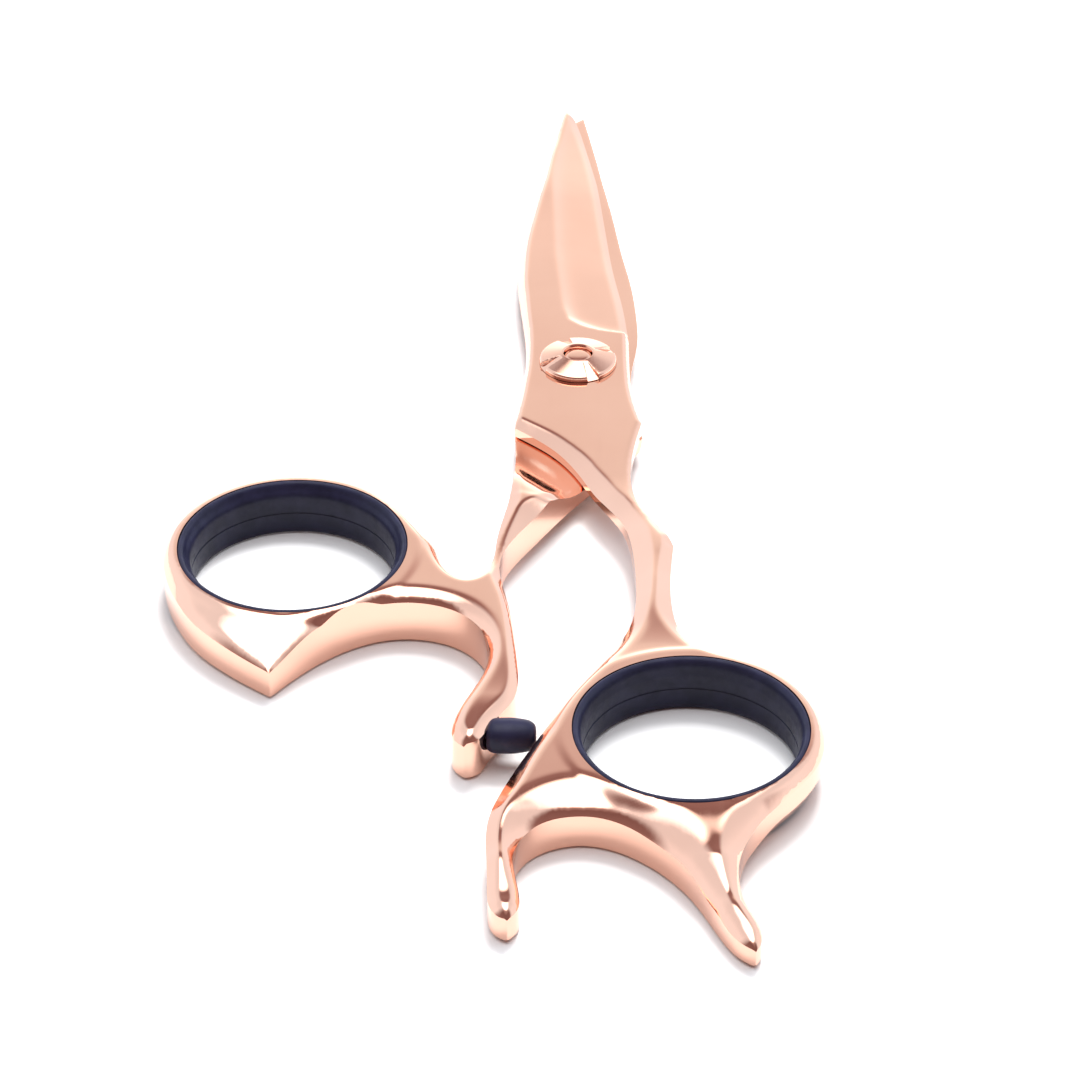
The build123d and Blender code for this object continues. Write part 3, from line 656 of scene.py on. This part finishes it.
def relief(nodes, links, shader, height, strength, distance):
    """Fine surface relief, with its distance in metres."""
    bump = nodes.new("ShaderNodeBump")
    bump.inputs["Strength"].default_value = strength
    bump.inputs["Distance"].default_value = distance
    links.new(height, bump.inputs["Height"])
    links.new(bump.outputs["Normal"], shader.inputs["Normal"])


def rose_gold():
    """Polished plating with faint patches, polishing haze and hairlines along the blades."""
    mat, nodes, links, shader = material("rose_gold_polish")
    shader.inputs["Metallic"].default_value = 1.0
    patches = remap(nodes, links, noise(nodes, links, 60, 3), 0.35, 0.65, 0, 1)
    two_tone(nodes, links, shader, (0.90, 0.530, 0.400, 1), (0.94, 0.575, 0.440, 1), patches)
    haze = remap(nodes, links, noise(nodes, links, 900, 4, (1, 0.15, 1)), 0.45, 0.75, 0.07, 0.14)
    links.new(haze, shader.inputs["Roughness"])
    relief(nodes, links, shader, noise(nodes, links, 2600, 3, (1, 0.08, 1)), 0.10, 0.00002)
    return mat


def rubber():
    """Matt navy rubber with a fine moulded grain."""
    mat, nodes, links, shader = material("navy_rubber_matt")
    patches = remap(nodes, links, noise(nodes, links, 450, 5), 0.35, 0.7, 0, 1)
    two_tone(nodes, links, shader, (0.010, 0.010, 0.028, 1), (0.018, 0.018, 0.046, 1), patches)
    shader.inputs["Specular IOR Level"].default_value = 0.22
    matt = remap(nodes, links, noise(nodes, links, 1500, 4), 0.3, 0.7, 0.32, 0.46)
    links.new(matt, shader.inputs["Roughness"])
    relief(nodes, links, shader, noise(nodes, links, 5200, 3), 0.25, 0.00004)
    return mat


def turned(name, dark, light, metallic, rough):
    """Plain hidden hardware: lathe marks as fine rings, with a slight colour change."""
    mat, nodes, links, shader = material(name)
    shader.inputs["Metallic"].default_value = metallic
    two_tone(nodes, links, shader, dark, light, noise(nodes, links, 700, 4))
    wear = remap(nodes, links, noise(nodes, links, 1800, 3), 0.3, 0.7, rough, rough + 0.15)
    links.new(wear, shader.inputs["Roughness"])
    wave = nodes.new("ShaderNodeTexWave")
    wave.wave_type = "RINGS"
    wave.rings_direction = "Z"
    wave.inputs["Scale"].default_value = 900
    coords = nodes.new("ShaderNodeTexCoord")
    links.new(coords.outputs["Object"], wave.inputs["Vector"])
    relief(nodes, links, shader, wave.outputs["Fac"], 0.2, 0.00003)
    return mat


METAL = rose_gold()
RUBBER = rubber()
BRONZE = turned("turned_bronze", (0.45, 0.27, 0.10, 1), (0.62, 0.42, 0.20, 1), 1.0, 0.25)
STEEL = turned("spring_steel_satin", (0.42, 0.43, 0.45, 1), (0.60, 0.61, 0.63, 1), 1.0, 0.25)
NYLON = turned("nylon_sheet", (0.70, 0.70, 0.66, 1), (0.84, 0.84, 0.80, 1), 0.0, 0.45)


def paint(obj, mat):
    """Give an object one material in place of any it has."""
    obj.data.materials.clear()
    obj.data.materials.append(mat)


PIECES = (
    (upper_half, METAL, "upper_half", "upper_shear", "rose_gold"),
    (lower_half, METAL, "lower_half", "lower_shear", "rose_gold"),
    (bolt, METAL, "lower_half", "pivot_bolt", "rose_gold"),
    (dial, METAL, "dial", "tension_dial", "rose_gold"),
    (thumb_insert, RUBBER, "lower_half", "thumb_ring_insert", "navy_rubber"),
    (finger_insert, RUBBER, "upper_half", "finger_ring_insert", "navy_rubber"),
    (bumper, RUBBER, "lower_half", "bumper", "navy_rubber"),
)
for piece, mat, body, node, slot in PIECES:
    paint(piece, mat)
    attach(piece, body)
    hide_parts(node)
for node, mat in (("pivot_bush", BRONZE), ("glide_washer", NYLON), ("click_plate", STEEL),
                  ("detent_balls", STEEL), ("spring_washer", STEEL), ("bumper_stud", STEEL)):
    paint(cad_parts[node], mat)


# ---- floor, light and camera --------------------------------------------------------------
def floor():
    """Plain pale table, wide enough to fill any view."""
    mesh = bpy.data.meshes.new("floor")
    size = 3.0
    corners = [(-size, -size, 0), (size, -size, 0), (size, size, 0), (-size, size, 0)]
    mesh.from_pydata(corners, [], [(0, 1, 2, 3)])
    obj = bpy.data.objects.new("floor", mesh)
    bpy.context.scene.collection.objects.link(obj)
    mat, nodes, links, shader = material("pale_table")
    shader.inputs["Base Color"].default_value = (0.77, 0.77, 0.77, 1)
    shader.inputs["Roughness"].default_value = 0.9
    shader.inputs["Specular IOR Level"].default_value = 0.1
    obj.data.materials.append(mat)
    return obj


floor()


PEAK = 4.0                # brightest level that the world's colour ramps can hold


def gradient(nodes, links, source, stops, tint):
    """Colour ramp over 0 to 180 degrees, in parts of PEAK, warmer where it is dark."""
    ramp_node = nodes.new("ShaderNodeValToRGB")
    links.new(source, ramp_node.inputs["Fac"])
    elements = ramp_node.color_ramp.elements
    elements.remove(elements[0])
    for k, (degrees, level) in enumerate(stops):
        element = elements[0] if k == 0 else elements.new(degrees / 180)
        element.position = degrees / 180
        cool = min(1.0, 0.45 + 0.6 * level)
        element.color = (level / PEAK, level * cool * tint / PEAK, level * cool * tint**2 / PEAK, 1)
    return ramp_node.outputs["Color"]


def math_node(nodes, links, operation, *sources):
    """Output of a maths node fed with sockets or plain numbers."""
    node = nodes.new("ShaderNodeMath")
    node.operation = operation
    for k, source in enumerate(sources):
        if isinstance(source, float):
            node.inputs[k].default_value = source
        else:
            links.new(source, node.inputs[k])
    return node.outputs[0]


def blend(nodes, links, value, low, high, first, second):
    """Mix of two colours, easing from the first to the second as value goes from low to high."""
    ease = nodes.new("ShaderNodeMapRange")
    ease.interpolation_type = "SMOOTHSTEP"
    ease.inputs["From Min"].default_value = low
    ease.inputs["From Max"].default_value = high
    links.new(value, ease.inputs["Value"])
    mix = nodes.new("ShaderNodeMix")
    mix.data_type = "RGBA"
    links.new(ease.outputs["Result"], mix.inputs["Factor"])
    links.new(first, mix.inputs["A"])
    links.new(second, mix.inputs["B"])
    return mix.outputs["Result"]


def studio():
    """Bright backdrop and side cards, a dark gap above the backdrop, an overhead panel, a dark front."""
    world = bpy.data.worlds.new("studio")
    bpy.context.scene.world = world
    world.use_nodes = True
    nodes, links = world.node_tree.nodes, world.node_tree.links
    back = nodes["Background"]
    coords = nodes.new("ShaderNodeTexCoord")
    split = nodes.new("ShaderNodeSeparateXYZ")
    links.new(coords.outputs["Generated"], split.inputs["Vector"])
    x, y, z = split.outputs
    tilt = math_node(nodes, links, "DIVIDE", math_node(nodes, links, "ARCTAN2", z, y), math.pi)
    rise = math_node(nodes, links, "DIVIDE", math_node(nodes, links, "ARCSINE", z), math.pi)
    # degrees up from the horizon behind and over the top
    behind = gradient(nodes, links, tilt, (
        (0, 2.2), (14, 1.8), (24, 1.2), (30, 1.0), (35, 0.90), (39, 0.68), (44, 0.36), (56, 0.28),
        (63, 3.2), (116, 3.2), (180, 3.0)), 1.0)
    side = gradient(nodes, links, rise, (
        (0, 1.1), (25, 1.1), (45, 0.95), (58, 0.92), (66, 2.4), (90, 3.2)), 1.09)
    front = gradient(nodes, links, rise, (
        (0, 1.3), (8, 0.7), (20, 0.30), (50, 0.24), (62, 0.5), (70, 3.0), (90, 3.4)), 1.0)
    around = blend(nodes, links, math_node(nodes, links, "ABSOLUTE", x), 0.16, 0.42, behind, side)
    facing = math_node(nodes, links, "MULTIPLY", y, -1.0)
    colour = blend(nodes, links, facing, 0.02, 0.36, around, front)
    links.new(colour, back.inputs["Color"])
    back.inputs["Strength"].default_value = PEAK


def panel(name, place, aim, size, watts):
    """Soft light that the polished metal does not mirror."""
    data = bpy.data.lights.new(name, "AREA")
    data.shape = "RECTANGLE"
    data.size, data.size_y = size
    data.energy = watts
    obj = bpy.data.objects.new(name, data)
    obj.location = place
    obj.rotation_euler = (Vector(aim) - Vector(place)).to_track_quat("-Z", "Y").to_euler()
    obj.visible_glossy = False
    bpy.context.scene.collection.objects.link(obj)


panel("overhead", (0.06, 0.26, 0.55), (0, -0.03, 0), (0.22, 0.22), 5.0)
studio()


def camera():
    """Long lens looking along +Y and down, at the middle of the shears."""
    data = bpy.data.cameras.new("camera")
    data.sensor_width = 36.0
    data.lens = 136.7
    obj = bpy.data.objects.new("camera", data)
    bpy.context.scene.collection.objects.link(obj)
    target = Vector((-4.495, -29.284, 0.0)) * MM
    lift = math.radians(35.0)
    reach = 464 * MM
    obj.location = target + Vector((0, -math.cos(lift), math.sin(lift))) * reach
    obj.rotation_euler = (math.pi / 2 - lift, 0, 0)
    data.clip_start = 0.01
    bpy.context.scene.camera = obj


camera()
bpy.context.scene.view_settings.view_transform = "Standard"
